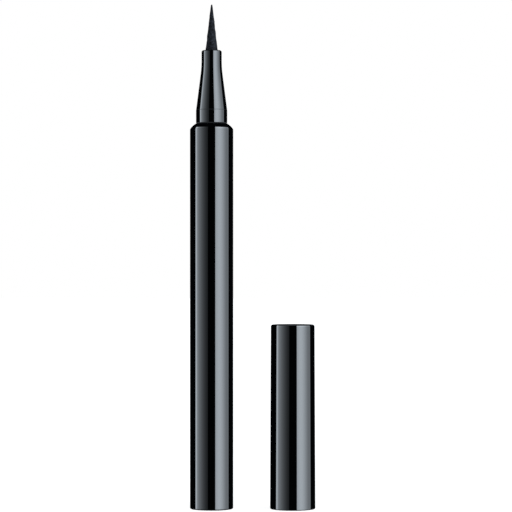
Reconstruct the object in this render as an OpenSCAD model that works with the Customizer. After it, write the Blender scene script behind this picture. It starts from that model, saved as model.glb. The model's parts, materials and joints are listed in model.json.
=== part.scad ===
// Felt-tip liquid eyeliner pen, with its cap taken off and stood beside it.
// Millimetres, +Z up along the pen. The origin is the middle of the pen's base face,
// and +X points from the pen to the cap.
// The barrel is the ink tank. A fibre rod carries the ink through a finned collector
// to the felt nib. The cap holds a sprung inner cap that seals the nozzle.

/* [Barrel] */
// Outside radius of the barrel
barrel_r = 5.25; // [5.1:0.05:5.7]
// Height of the straight side of the barrel
barrel_h = 92.2; // [88:0.1:98]
// Height of the rounded shoulder above it
shoulder_h = 1.35; // [1.1:0.05:1.7]
// Radius of the rounding round the base
base_round = 0.36; // [0.2:0.02:0.46]
// Wall thickness round the ink tank
tank_wall = 0.9; // [0.8:0.02:1.05]
// Height of the ink tank above the tail plug
tank_l = 45.6; // [40:0.1:48]
// Thickness of the wall between the tank and the collector
partition_t = 2.5; // [1.8:0.1:3.2]

/* [Tail plug] */
// Length of the plug that closes the rear end
plug_l = 4.4; // [3.8:0.1:5.4]
// Thickness of the plug's head
plug_head_t = 1.0; // [0.7:0.05:1.3]
// How far the head stands out past the tank's bore
plug_head_lip = 0.2; // [0.12:0.02:0.26]
// Radius of the hollow in the plug's inner end
plug_hollow_r = 2.0; // [1.2:0.05:2.3]
// Depth of that hollow
plug_hollow_d = 2.6; // [1.5:0.1:3.2]

/* [Section] */
// Radius of the collar that the cap grips
collar_r = 3.79; // [3.7:0.01:3.9]
// Height of the collar above the barrel's mouth
collar_h = 3.5; // [3:0.1:4.2]
// Length of the flare and the nozzle above the collar
nose_l = 14.3; // [13.4:0.1:16]
// Angle of the flare to the pen's axis
flare_angle = 7.4; // [7:0.1:8.4]
// Radius of the nozzle
nozzle_r = 2.45; // [2.4:0.01:2.6]
// Radius of the long blend from the flare to the nozzle
flare_blend_r = 28; // [20:1:32]
// Length of the skirt that sits inside the barrel
skirt_l = 13; // [10:0.5:15]
// How far the collar stands out past the skirt, to rest on the barrel's lip
collar_step = 0.2; // [0.12:0.01:0.25]
// Wall of the skirt
skirt_wall = 0.54; // [0.48:0.01:0.62]
// Wall of the nozzle
nozzle_wall = 0.48; // [0.42:0.01:0.52]

/* [Nib] */
// Radius of the felt nib where it leaves the nozzle
nib_r = 1.5; // [1.4:0.01:1.56]
// Length of the cone that shows
nib_l = 11.15; // [9:0.05:12]
// Radius of the rounded point
nib_tip_r = 0.2; // [0.12:0.01:0.3]
// Length of the round shank inside the nozzle
shank_l = 8; // [6.5:0.1:9]

/* [Ink feed] */
// Radius of the fibre rod
core_r = 0.9; // [0.8:0.01:1]
// Length of the rod that dips into the tank
core_dip = 6; // [4:0.1:9]
// Thickness of one collector fin
fin_t = 0.45; // [0.35:0.01:0.55]
// Distance from fin to fin
fin_pitch = 1.25; // [1.1:0.01:1.5]
// Wall of the collector's tube
collector_wall = 0.7; // [0.6:0.02:0.9]
// Wall of the rubber seal round the collector's tail
seal_wall = 0.65; // [0.5:0.01:0.8]
// Radius of a mixing ball
ball_r = 1.4; // [1.2:0.01:1.42]

/* [Cap] */
// Distance from the pen's axis to the cap's axis
cap_x = 19.7; // [16:0.1:40]
// Height of the cap
cap_h = 44.75; // [43:0.05:50]
// Outside radius at the mouth
cap_mouth_r = 5.5; // [5.45:0.01:5.8]
// Outside radius at the closed end
cap_top_r = 5.31; // [5.26:0.01:5.44]
// Rounding round the closed end
cap_top_round = 0.5; // [0.3:0.05:0.7]
// Rounding round the mouth
cap_mouth_round = 0.25; // [0.15:0.01:0.3]
// Thinnest wall of the shell
cap_wall = 0.81; // [0.74:0.01:0.86]
// Thickness of the closed end
cap_roof_t = 1.2; // [1:0.05:1.5]
// Height of the cap's mouth above the barrel's edge when the cap is on
cap_seat = 0.6; // [0.4:0.05:0.8]

/* [Inner cap and spring] */
// Wall of the inner cap
inner_wall = 0.6; // [0.5:0.01:0.64]
// How far the nozzle pushes the inner cap back when the cap is on
seal_press = 1.2; // [0.8:0.05:1.6]
// Free room between the nib's point and the inner cap
tip_room = 1.5; // [1:0.1:2]
// Thickness of the inner cap's flange and of its roof
inner_flange_t = 1.0; // [0.7:0.05:1.3]
// Wire diameter of the spring
wire_d = 0.35; // [0.3:0.01:0.42]
// Turns of the spring
coils = 10; // [8:1:12]
// Radius of the spring to the middle of its wire
coil_r = 2.4; // [2.2:0.05:2.8]

/* [Hidden] */
$fn = 96;
// Every cut runs this far past the face that it opens
over = 0.5;
// Gap between round parts that are pushed together for good
slip = 0.03;
// Gap between round parts that slide in each other
run_gap = 0.06;
// Gap between faces that don't carry each other
end_play = 0.1;
// How much tighter than the collar the cap's grip is
grip = 0.02;

// Heights along the pen
mouth_z = barrel_h + shoulder_h;
collar_top_z = mouth_z + collar_h;
nose_z = collar_top_z + nose_l;
tip_z = nose_z + nib_l;
skirt_z = mouth_z - skirt_l;
partition_z = plug_l + tank_l;
chamber_z = partition_z + partition_t;

// Radii inside the pen
tank_r = barrel_r - tank_wall;
skirt_r = collar_r - collar_step;
front_bore_r = skirt_r + slip;
chamber_r = skirt_r - skirt_wall;
holder_bore_r = nozzle_r - nozzle_wall;
holder_r = holder_bore_r - slip;
core_bore_r = core_r + slip;

// How far the barrel's lip shows round the collar, and the ring that snaps the section in
lip_w = 0.08;
snap_h = 0.12;
snap_w = 0.9;
snap_z = skirt_z + skirt_l / 2;
// The fine groove at the collar's foot and the fine step at its top
foot_groove_w = 0.3;
foot_groove_d = 0.07;
top_step = 0.03;
// Small roundings and chamfers
nose_round = 0.35;
edge_cut = 0.15;
// Thickness of the nozzle's front lip, which stops the holder
front_lip_t = 1.2;

// Tail plug
plug_seat_r = tank_r + plug_head_lip;
plug_bead_w = 0.8;
plug_body_gap = 0.15;

// Collector
fin_gap = 0.15;
fin_r = chamber_r - fin_gap;
collector_r = core_bore_r + collector_wall;
spigot_r = collector_r - edge_cut;
foot_t = 1.0;
collector_top_z = collar_top_z - end_play;
fin_first_z = chamber_z + foot_t + fin_pitch - fin_t;
fin_count = floor((collector_top_z - foot_t - fin_first_z) / fin_pitch);
capillary_w = 0.25;
air_notch_w = 0.9;
air_notch_d = 0.7;

// Rubber seal in the wall above the tank
seal_r = spigot_r + slip + seal_wall;
seal_flange_w = 0.6;
seal_flange_t = 1.0;
seal_z = partition_z - seal_flange_t;
spigot_z = seal_z - edge_cut;

// Nib holder and fibre rod
nib_rear_z = nose_z - shank_l;
holder_z = collar_top_z + end_play;
holder_top_z = nose_z - front_lip_t - end_play;
socket_d = 2.0;
core_z = partition_z - core_dip;
core_top_z = nib_rear_z + socket_d - end_play;
air_slot_w = 0.7;
air_slot_d = 0.2;
air_slots = 3;

// Mixing balls, one on each side of the fibre rod
ball_side_gap = 0.3;
ball_x = core_r + ball_side_gap + ball_r;
ball_z = plug_l + end_play + ball_r;

// Heights along the cap: a height of the pen, less this, is its height in a closed cap
cap_on_z = barrel_h + cap_seat;
collar_in_z = mouth_z - cap_on_z;
collar_end_z = collar_top_z - cap_on_z;

// Cap shell
shell_bore_r = cap_top_r - cap_wall;
shell_roof_z = cap_h - cap_roof_t;
liner_seat_w = 0.28;
liner_flange_r = shell_bore_r + liner_seat_w - slip;
liner_flange_t = 1.1;
liner_in = collar_in_z + edge_cut;
liner_seat_z = liner_in + liner_flange_t;
post_l = 2.5;

// Inner cap: its lip meets the flare a little wider than its own bore
inner_bore_r = nozzle_r + grip;
inner_r = inner_bore_r + inner_wall;
lip_cut = 0.25;
seal_line_r = inner_bore_r + lip_cut / 2;
seal_line_z = collar_end_z + (collar_r - seal_line_r) / tan(flare_angle);
inner_z = seal_line_z - lip_cut / 2 - seal_press;
inner_flange_z = tip_z - cap_on_z + tip_room - seal_press;
inner_top_z = inner_flange_z + inner_flange_t;
inner_flange_w = 0.85;
boss_l = 1.5;

// Cap liner: a socket that grips the collar, a throat that follows the flare, a guide
liner_bore_r = collar_r - grip;
guide_r = inner_r + run_gap;
throat_gap = 0.25;
throat_z = collar_end_z + end_play;
guide_z = collar_end_z + (collar_r + throat_gap - guide_r) / tan(flare_angle);
liner_lead = 0.4;
liner_r = shell_bore_r - slip;
liner_socket_l = 5;
liner_tube_wall = 0.8;
liner_tube_r = guide_r + liner_tube_wall;
liner_ribs = 6;
liner_rib_t = 0.6;

// Spring between the inner cap's flange and the closed end
spring_z = inner_top_z + slip;
spring_l = shell_roof_z - slip - spring_z;
spring_post_gap = 0.15;
spring_post_r = coil_r - wire_d / 2 - spring_post_gap;
dead_coils = 1;
dead_gap = 0.07;
dead_pitch = wire_d + dead_gap;
coil_rings = 16;
wire_sides = 6;

gloss_black = [0.035, 0.035, 0.045];
felt_black = [0.1, 0.11, 0.15];
natural = [0.9, 0.9, 0.86];
milky = [0.8, 0.83, 0.85];
dark_grey = [0.16, 0.16, 0.17];
steel = [0.72, 0.73, 0.75];

// Points on an arc about (cx, cz) with radius r, from angle a0 to a1 in the given steps
function arc(cx, cz, r, a0, a1, steps = 6) =
    [for (i = [0 : steps]) let (a = a0 + (a1 - a0) * i / steps) [cx + r * cos(a), cz + r * sin(a)]];

// The shoulder slopes from the barrel's edge to the lip and bulges outwards by half a wave
shoulder_steps = 8;
shoulder_share = 0.1;
shoulder_top_r = collar_r + lip_w;
function shoulder() = [for (i = [0 : shoulder_steps])
    let (t = i / shoulder_steps, bulge = shoulder_share * sin(180 * t))
    [barrel_r - (barrel_r - shoulder_top_r) * (t - bulge), barrel_h + shoulder_h * t]];

module barrel() {
    color(gloss_black)
    difference() {
        rotate_extrude()
            polygon(concat(
                [[0, 0]],
                arc(barrel_r - base_round, base_round, base_round, -90, 0),
                shoulder(),
                [[0, mouth_z]]));
        // Seat of the plug's head
        translate([0, 0, -over])
            cylinder(r = plug_seat_r, h = plug_head_t + over);
        // Ink tank
        translate([0, 0, plug_head_t - over])
            cylinder(r = tank_r, h = partition_z - plug_head_t + over);
        // Hole for the seal
        translate([0, 0, partition_z - over])
            cylinder(r = seal_r + slip, h = partition_t + 2 * over);
        // Collector chamber
        translate([0, 0, chamber_z])
            cylinder(r = chamber_r, h = skirt_z - chamber_z + over);
        // Bore for the section's skirt, with the snap groove
        translate([0, 0, skirt_z])
            cylinder(r = front_bore_r, h = skirt_l + over);
        snap_ring(front_bore_r, snap_w + 2 * slip);
    }
}

// A ring with sloping flanks, on a skirt or as the groove that takes it
module snap_ring(r, w) {
    rotate_extrude()
        polygon([
            [0, snap_z - w / 2],
            [r, snap_z - w / 2],
            [r + snap_h, snap_z - w / 2 + snap_h],
            [r + snap_h, snap_z + w / 2 - snap_h],
            [r, snap_z + w / 2],
            [0, snap_z + w / 2]]);
}

// One sealing bead round the plug, at height z
module plug_bead(z) {
    bead_r = tank_r - slip;
    body_r = tank_r - plug_body_gap;
    rotate_extrude()
        polygon([
            [0, z - plug_bead_w / 2],
            [body_r, z - plug_bead_w / 2],
            [bead_r, z - plug_bead_w / 4],
            [bead_r, z + plug_bead_w / 4],
            [body_r, z + plug_bead_w / 2],
            [0, z + plug_bead_w / 2]]);
}

module tail_plug() {
    head_r = plug_seat_r - slip;
    body_l = plug_l - plug_head_t;
    color(dark_grey)
    difference() {
        union() {
            rotate_extrude()
                polygon([
                    [0, 0],
                    [head_r - edge_cut, 0],
                    [head_r, edge_cut],
                    [head_r, plug_head_t],
                    [tank_r - plug_body_gap, plug_head_t],
                    [tank_r - plug_body_gap, plug_l - edge_cut],
                    [tank_r - plug_body_gap - edge_cut, plug_l],
                    [0, plug_l]]);
            plug_bead(plug_head_t + body_l / 3);
            plug_bead(plug_head_t + body_l * 2 / 3);
        }
        translate([0, 0, plug_l - plug_hollow_d])
            cylinder(r = plug_hollow_r, h = plug_hollow_d + over);
    }
}

// Outline of the section from the skirt's foot to the nose
function section_outline() =
    let (flare_r = collar_r - top_step,
         cross_z = collar_top_z + (flare_r - nozzle_r) / tan(flare_angle),
         blend_z = cross_z + flare_blend_r * tan(flare_angle / 2))
    concat(
        [[0, skirt_z + end_play],
         [skirt_r - edge_cut, skirt_z + end_play],
         [skirt_r, skirt_z + end_play + edge_cut],
         [skirt_r, mouth_z],
         [collar_r - foot_groove_d, mouth_z],
         [collar_r - foot_groove_d, mouth_z + foot_groove_w - foot_groove_d],
         [collar_r, mouth_z + foot_groove_w],
         [collar_r, collar_top_z - top_step],
         [flare_r, collar_top_z]],
        arc(nozzle_r + flare_blend_r, blend_z, flare_blend_r, 180 + flare_angle, 180),
        arc(nozzle_r - nose_round, nose_z - nose_round, nose_round, 0, 90),
        [[0, nose_z]]);

module section() {
    color(gloss_black)
    difference() {
        union() {
            rotate_extrude()
                polygon(section_outline());
            snap_ring(skirt_r, snap_w);
        }
        // Room for the collector
        translate([0, 0, skirt_z - over])
            cylinder(r = chamber_r, h = collar_top_z - skirt_z + over);
        // Bore for the nib holder
        translate([0, 0, collar_top_z - over])
            cylinder(r = holder_bore_r, h = nose_l - front_lip_t + over);
        // Front opening for the nib
        translate([0, 0, nose_z - front_lip_t - over])
            cylinder(r = nib_r + slip, h = front_lip_t + 2 * over);
    }
}

// Outline of the nib: a round shank, then a cone that runs into its rounded point
function nib_outline() =
    let (ball_c = tip_z - nib_tip_r,
         slant = norm([nib_r, ball_c - nose_z]),
         half = atan(nib_r / (ball_c - nose_z)) - asin(nib_tip_r / slant))
    concat(
        [[0, nib_rear_z],
         [nib_r - edge_cut, nib_rear_z],
         [nib_r, nib_rear_z + edge_cut],
         [nib_r, nose_z]],
        arc(0, ball_c, nib_tip_r, half, 90));

module nib() {
    color(felt_black)
    difference() {
        rotate_extrude()
            polygon(nib_outline());
        translate([0, 0, nib_rear_z - over])
            cylinder(r = core_bore_r, h = socket_d + over);
    }
}

module nib_holder() {
    color(milky)
    difference() {
        translate([0, 0, holder_z])
            cylinder(r = holder_r, h = holder_top_z - holder_z);
        // Seat of the nib's shank
        translate([0, 0, nib_rear_z])
            cylinder(r = nib_r + slip, h = shank_l);
        // Passage for the fibre rod
        translate([0, 0, holder_z - over])
            cylinder(r = core_bore_r, h = nose_l);
        // Air grooves along the outside
        for (i = [0 : air_slots - 1])
            rotate([0, 0, 360 * i / air_slots])
                translate([holder_r - air_slot_d, -air_slot_w / 2, holder_z - over])
                    cube([air_slot_d + over, air_slot_w, nose_l]);
    }
}

module feed_core() {
    color(natural)
    translate([0, 0, core_z])
        cylinder(r = core_r, h = core_top_z - core_z);
}

// Outline of the collector: tail, foot, a comb of fins and the front disc
function fin_points(z) = [[collector_r, z], [fin_r, z], [fin_r, z + fin_t], [collector_r, z + fin_t]];
function collector_outline() = concat(
    [[0, spigot_z],
     [spigot_r - edge_cut, spigot_z],
     [spigot_r, spigot_z + edge_cut],
     [spigot_r, chamber_z],
     [fin_r, chamber_z],
     [fin_r, chamber_z + foot_t],
     [collector_r, chamber_z + foot_t]],
    [for (i = [0 : fin_count - 1], p = fin_points(fin_first_z + i * fin_pitch)) p],
    [[collector_r, collector_top_z - foot_t],
     [fin_r, collector_top_z - foot_t],
     [fin_r, collector_top_z],
     [0, collector_top_z]]);

module collector() {
    comb_l = collector_top_z - chamber_z;
    color(milky)
    difference() {
        rotate_extrude()
            polygon(collector_outline());
        translate([0, 0, spigot_z - over])
            cylinder(r = core_bore_r, h = collector_top_z - spigot_z + 2 * over);
        // Capillary slit down one side of the fins, and the air notch opposite
        translate([collector_r - capillary_w, -capillary_w / 2, chamber_z + foot_t])
            cube([fin_r, capillary_w, comb_l]);
        translate([-fin_r - over, -air_notch_w / 2, chamber_z - over])
            cube([air_notch_d + over, air_notch_w, comb_l + 2 * over]);
    }
}

module tank_seal() {
    color(dark_grey)
    difference() {
        union() {
            translate([0, 0, seal_z])
                cylinder(r = seal_r + seal_flange_w, h = seal_flange_t);
            translate([0, 0, seal_z])
                cylinder(r = seal_r, h = seal_flange_t + partition_t - end_play);
        }
        translate([0, 0, seal_z - over])
            cylinder(r = spigot_r + slip, h = seal_flange_t + partition_t + 2 * over);
    }
}

module mixing_ball(side) {
    color(steel)
    translate([side * ball_x, 0, ball_z])
        sphere(r = ball_r);
}

module mixing_ball_1() {
    mixing_ball(-1);
}

module mixing_ball_2() {
    mixing_ball(1);
}

module cap_shell() {
    color(gloss_black)
    translate([cap_x, 0, 0])
    difference() {
        rotate_extrude()
            polygon(concat(
                [[0, 0]],
                arc(cap_mouth_r - cap_mouth_round, cap_mouth_round, cap_mouth_round, -90, 0),
                arc(cap_top_r - cap_top_round, cap_h - cap_top_round, cap_top_round, 0, 90),
                [[0, cap_h]]));
        // Mouth, down to the seat of the liner's flange
        translate([0, 0, -over])
            cylinder(r = liner_flange_r + slip, h = liner_seat_z + over);
        // Main bore, which leaves a post on the closed end for the spring
        difference() {
            translate([0, 0, liner_seat_z - over])
                cylinder(r = shell_bore_r, h = shell_roof_z - liner_seat_z + over);
            translate([0, 0, shell_roof_z - post_l])
                cylinder(r = spring_post_r, h = post_l + over);
        }
    }
}

module cap_liner() {
    color(dark_grey)
    translate([cap_x, 0, 0])
    difference() {
        union() {
            translate([0, 0, liner_in])
                cylinder(r = liner_flange_r, h = liner_flange_t);
            translate([0, 0, liner_in])
                cylinder(r = liner_r, h = liner_flange_t + liner_socket_l);
            translate([0, 0, liner_in])
                cylinder(r = liner_tube_r, h = inner_flange_z - liner_in);
            intersection() {
                translate([0, 0, liner_in])
                    cylinder(r = liner_r, h = inner_flange_z - liner_in - inner_flange_t);
                for (i = [0 : liner_ribs - 1])
                    rotate([0, 0, 360 * i / liner_ribs])
                        translate([guide_r + run_gap, -liner_rib_t / 2, liner_in])
                            cube([liner_r, liner_rib_t, inner_flange_z]);
            }
        }
        // Lead-in, grip on the collar, throat along the flare, guide for the inner cap
        rotate_extrude()
            polygon([
                [0, liner_in - over],
                [liner_bore_r + liner_lead + over, liner_in - over],
                [liner_bore_r, liner_in + liner_lead],
                [liner_bore_r, throat_z],
                [guide_r, guide_z],
                [guide_r, inner_flange_z + over],
                [0, inner_flange_z + over]]);
    }
}

module inner_cap() {
    color(natural)
    translate([cap_x, 0, 0])
    difference() {
        rotate_extrude()
            polygon([
                [0, inner_z],
                [inner_r - edge_cut, inner_z],
                [inner_r, inner_z + edge_cut],
                [inner_r, inner_flange_z],
                [inner_r + inner_flange_w, inner_flange_z],
                [inner_r + inner_flange_w, inner_top_z],
                [spring_post_r, inner_top_z],
                [spring_post_r, inner_top_z + boss_l - edge_cut],
                [spring_post_r - edge_cut, inner_top_z + boss_l],
                [0, inner_top_z + boss_l]]);
        // Sealing bore with its cone-shaped lip
        translate([0, 0, inner_z])
            cylinder(r = inner_bore_r, h = inner_flange_z - inner_z);
        translate([0, 0, inner_z - over])
            cylinder(r1 = inner_bore_r + lip_cut + over, r2 = inner_bore_r, h = lip_cut + over);
    }
}

// Height of the wire's middle after a number of turns: closed at both ends, open between
function coil_h(turn, rise) =
    turn < dead_coils ? turn * dead_pitch :
    turn > coils - dead_coils ? rise - (coils - turn) * dead_pitch :
    dead_coils * dead_pitch + (turn - dead_coils)
        * (rise - 2 * dead_coils * dead_pitch) / (coils - 2 * dead_coils);

// A ring of points round the wire at a given turn
function wire_ring(turn, rise) = [for (s = [0 : wire_sides - 1])
    let (a = 360 * turn,
         b = 360 * s / wire_sides,
         out = coil_r + wire_d / 2 * cos(b))
    [out * cos(a), out * sin(a), wire_d / 2 * (1 + sin(b)) + coil_h(turn, rise)]];

module cap_spring() {
    rise = spring_l - wire_d;
    rings = coils * coil_rings;
    points = [for (i = [0 : rings], p = wire_ring(i / coil_rings, rise)) p];
    skin = [for (i = [0 : rings - 1], s = [0 : wire_sides - 1])
        let (n = (s + 1) % wire_sides, low = i * wire_sides, high = low + wire_sides)
        each [[low + s, low + n, high + n], [low + s, high + n, high + s]]];
    first = [for (s = [1 : wire_sides - 2]) [0, s + 1, s]];
    last_ring = rings * wire_sides;
    last = [for (s = [1 : wire_sides - 2]) [last_ring, last_ring + s, last_ring + s + 1]];
    color(steel)
    translate([cap_x, 0, spring_z])
        polyhedron(points, concat(skin, first, last));
}

barrel();
tail_plug();
section();
nib();
nib_holder();
feed_core();
collector();
tank_seal();
mixing_ball_1();
mixing_ball_2();
cap_shell();
cap_liner();
inner_cap();
cap_spring();
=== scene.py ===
"""Looks of a felt-tip liquid eyeliner pen that stands beside its cap.

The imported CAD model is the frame. Each piece here is a fine mesh that takes the place of its CAD
node and rides on the same body. Metres, +Z up along the pen, +X from the pen to the cap.
"""

import json
import math

import bpy
import numpy as np
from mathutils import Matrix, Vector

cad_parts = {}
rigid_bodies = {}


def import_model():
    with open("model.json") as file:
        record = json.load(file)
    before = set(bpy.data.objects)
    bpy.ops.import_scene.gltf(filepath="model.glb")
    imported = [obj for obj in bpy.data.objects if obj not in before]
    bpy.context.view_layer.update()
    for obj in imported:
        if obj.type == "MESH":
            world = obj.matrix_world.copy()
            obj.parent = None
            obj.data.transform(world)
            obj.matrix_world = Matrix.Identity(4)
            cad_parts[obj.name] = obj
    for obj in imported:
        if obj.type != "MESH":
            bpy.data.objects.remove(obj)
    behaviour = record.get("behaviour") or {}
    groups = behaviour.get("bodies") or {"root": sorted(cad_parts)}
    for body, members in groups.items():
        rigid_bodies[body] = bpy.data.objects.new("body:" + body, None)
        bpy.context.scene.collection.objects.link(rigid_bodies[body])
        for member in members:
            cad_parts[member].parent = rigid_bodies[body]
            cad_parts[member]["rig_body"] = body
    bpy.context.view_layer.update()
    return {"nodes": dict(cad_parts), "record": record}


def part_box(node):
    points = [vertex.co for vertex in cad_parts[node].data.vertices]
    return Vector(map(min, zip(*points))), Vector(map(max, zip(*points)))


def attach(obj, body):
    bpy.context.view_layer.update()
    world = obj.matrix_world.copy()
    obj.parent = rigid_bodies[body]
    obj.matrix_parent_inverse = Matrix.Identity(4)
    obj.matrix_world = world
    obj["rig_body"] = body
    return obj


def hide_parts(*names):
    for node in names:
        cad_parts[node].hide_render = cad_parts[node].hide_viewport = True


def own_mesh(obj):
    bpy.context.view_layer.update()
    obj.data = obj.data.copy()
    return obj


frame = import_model()

bl_info = {
    "name": "Felt-Tip Eyeliner Pen",
    "version": (1, 0, 0),
    "blender": (4, 5, 0),
    "location": "3D View > Sidebar > Eyeliner",
    "description": "Builds the pen, its cap, everything inside them, and a studio round them",
    "category": "Add Mesh",
}

MM = 0.001
MOUNTS = {m["name"]: m for m in frame["record"]["mounts"]}


def low(node):
    """Lowest corner of a CAD node."""
    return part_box(node)[0]


def high(node):
    """Highest corner of a CAD node."""
    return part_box(node)[1]


def span(node):
    """Lowest and highest height of a CAD node."""
    return low(node).z, high(node).z


def mount_radius(name):
    """Radius of a round mount."""
    return MOUNTS[name]["dims"]["r_mm"] * MM


def mount_ends(name):
    """Lower and upper height of a round mount."""
    half = MOUNTS[name]["dims"]["length_mm"] * MM / 2
    middle = MOUNTS[name]["pos_m"][2]
    return middle - half, middle + half


GRIP_LOW, GRIP_HIGH = mount_ends("barrel_grip")
MOUTH_Z = high("barrel").z
NOSE_Z = high("section").z
CAP_X = (low("cap_shell").x + high("cap_shell").x) / 2
# Gap between round parts that are pushed together for good
SLIP = 0.03 * MM
# Rounding of an edge that the mould leaves sharp to the touch
FINE_ROUND = 0.04 * MM
# Chamfer of the turned-in edges
EDGE_CUT = 0.15 * MM

# Steps in the arc of each rounded corner, and sides of each round piece
ARC_STEPS = 8
SIDES = 192
# Two faces that meet at a larger angle than this get a sharp edge
SHARP_ANGLE = math.radians(32)


def linear(code):
    """Linear colour of an sRGB hex code."""
    srgb = np.array([int(code[i:i + 2], 16) for i in (1, 3, 5)]) / 255
    return tuple(np.where(srgb <= 0.04045, srgb / 12.92, ((srgb + 0.055) / 1.055) ** 2.4).tolist())


def named(group):
    """Gives each property of a group its name: its key in plain words."""
    for key, made in group.__annotations__.items():
        made.keywords["name"] = key.replace("_", " ").capitalize()
    return group


def length(description, millimetres):
    """A length, which Blender holds in metres."""
    return bpy.props.FloatProperty(
        description=description, default=millimetres * MM, unit="LENGTH", precision=5)


def colour(description, code):
    """A colour, from its sRGB hex code."""
    return bpy.props.FloatVectorProperty(
        description=description, default=linear(code), subtype="COLOR", min=0, max=1)


def radiance(description, default):
    """The radiance of a light."""
    return bpy.props.FloatProperty(description=description, default=default, min=0)


@named
class BarrelShape(bpy.types.PropertyGroup):
    """Sizes of the barrel and its tail plug."""

    radius: length("Outside radius", mount_radius("barrel_grip") / MM)
    base_round: length("Rounding round the base", GRIP_LOW / MM)
    straight_top: length("Height where the shoulder starts", GRIP_HIGH / MM)
    shoulder_round: length("Rounding at the shoulder's foot", 0.5)
    lip_radius: length("Outside radius of the lip round the collar", 3.87)
    front_bore: length("Radius of the bore for the section", 3.62)
    front_bore_foot: length("Height where that bore ends", 80.55)
    chamber_radius: length("Radius round the collector", 3.05)
    tank_radius: length("Inside radius of the ink tank", 4.35)
    seal_hole: length("Radius of the hole for the seal", 2.19)
    wall_low: length("Top of the ink tank", 50.0)
    wall_high: length("Foot of the collector chamber", 52.5)
    plug_hollow: length("Radius of the hollow in the plug", 2.0)
    plug_hollow_depth: length("Depth of that hollow", 2.6)


@named
class SectionShape(bpy.types.PropertyGroup):
    """Sizes of the front section and the nib."""

    collar_radius: length("Radius that the cap grips", mount_radius("section_collar") / MM)
    skirt_radius: length("Radius inside the barrel", 3.59)
    collar_top: length("Height where the flare starts", 97.05)
    flare_angle: bpy.props.FloatProperty(
        description="Angle of the flare to the pen's axis", default=math.radians(7.4),
        subtype="ANGLE")
    flare_blend: length("Radius from the flare to the nozzle", 28.0)
    nozzle_radius: length("Outside radius of the nozzle", 2.45)
    nozzle_bore: length("Inside radius of the nozzle", 1.97)
    front_lip: length("Length of the lip that stops the holder", 1.2)
    nose_cut: length("Width of the cut edge round the nozzle's end", 0.3)
    nib_radius: length("Radius where the nib leaves the nozzle", 1.5)
    nib_point: length("Radius of the nib's rounded point", 0.2)
    felt_relief: length("Height of the felt's lumps", 0.075)


@named
class CapShape(bpy.types.PropertyGroup):
    """Sizes of the cap, its liner and its inner cap."""

    mouth_radius: length("Outside radius at the open end", 5.5)
    top_radius: length("Outside radius at the closed end", 5.31)
    mouth_round: length("Rounding round the open end", 0.25)
    top_round: length("Rounding round the closed end", 0.5)
    bore: length("Radius of the main bore", 4.5)
    roof: length("Thickness of the closed end", 1.2)
    seat_radius: length("Radius of the liner's seat", 4.78)
    grip_radius: length("Radius that grips the collar", mount_radius("cap_mouth") / MM)
    guide_radius: length("Radius that guides the inner cap", 3.13)
    tube_radius: length("Outside radius of the liner's tube", 3.93)
    seal_radius: length("Radius that seals on the nozzle", mount_radius("inner_cap_seal") / MM)
    post_radius: length("Radius of the posts in the spring", 2.075)
    wire: length("Diameter of the spring's wire", 0.35)
    coil_radius: length("Radius to the middle of the wire", 2.4)
    coils: bpy.props.IntProperty(description="Turns of the spring", default=10)
    ribs: bpy.props.IntProperty(description="Ribs round the liner", default=6)
    rib_width: length("Thickness of a rib of the liner", 0.6)


@named
class FeedShape(bpy.types.PropertyGroup):
    """Sizes of what carries the ink: the seal, the collector, the rod and the nib's holder."""

    holder_radius: length("Outside radius of the nib's holder", 1.94)
    holder_seat: length("Radius of the holder's seat for the nib", 1.53)
    holder_seat_foot: length("Height where that seat ends", 103.35)
    passage: length("Radius of the way through for the rod", 0.93)
    groove_width: length("Width of the holder's air grooves", 0.7)
    groove_depth: length("Depth of the holder's air grooves", 0.2)
    rod_radius: length("Radius of the fibre rod", 0.9)
    flange_radius: length("Radius of the seal's flange", 2.76)
    sleeve_radius: length("Outside radius of the seal's sleeve", 2.16)
    seal_bore: length("Inside radius of the seal", 1.51)
    seal_flange: length("Thickness of the seal's flange", 1.0)
    tail_radius: length("Radius of the collector's tail", 1.48)
    tube_radius: length("Radius of the collector between fins", 1.63)
    fin_radius: length("Radius of the collector's fins", 2.9)
    fin_thickness: length("Thickness of a fin", 0.45)
    fin_pitch: length("From one fin to the next", 1.25)
    first_fin: length("Height of the first fin's lower face", 54.3)
    fins: bpy.props.IntProperty(description="Fins of the collector", default=33)
    slit_width: length("Width of the capillary slit", 0.25)
    slit_floor: length("Distance from the axis to its floor", 1.38)
    notch_width: length("Width of the air notch", 0.9)
    notch_floor: length("Distance from the axis to its floor", 2.2)
    ball_radius: length("Radius of a mixing ball", 1.4)


@named
class Finish(bpy.types.PropertyGroup):
    """Colours of the materials."""

    gloss: colour("Barrel, section and cap", "#010101")
    satin: colour("Tail plug and cap liner", "#17181a")
    ink: colour("Felt soaked with ink", "#07080b")
    milky: colour("Collector and nib holder", "#d3d8dc")
    natural: colour("Inner cap", "#e4e3da")
    fibre: colour("Feed rod", "#d8d6cc")
    rubber: colour("Tank seal", "#1b1b1d")
    steel: colour("Balls and spring", "#c6c8cb")


@named
class Studio(bpy.types.PropertyGroup):
    """Light and camera."""

    panel_tint: colour("Colour of the soft panels", "#eaf5ff")
    room_tint: colour("Colour of the faint light round them", "#6fa8e8")
    room_light: radiance("Radiance of the faint light round the panels", 0.01)
    right_light: radiance("Radiance of the right panel", 10.2)
    left_light: radiance("Radiance of the left panel", 5.2)
    strip_light: radiance("Radiance that the strip adds at the left", 2.8)
    rear_light: radiance("Radiance of the panel behind the pen", 5.0)
    camera_distance: length("From the pen's axis", 607.5)
    camera_x: length("Camera's place from left to right", 10.78)
    camera_z: length("Height of the lens", 61.4)
    lens: bpy.props.FloatProperty(description="Focal length", default=175.8, unit="CAMERA")


# Shapes


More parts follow.
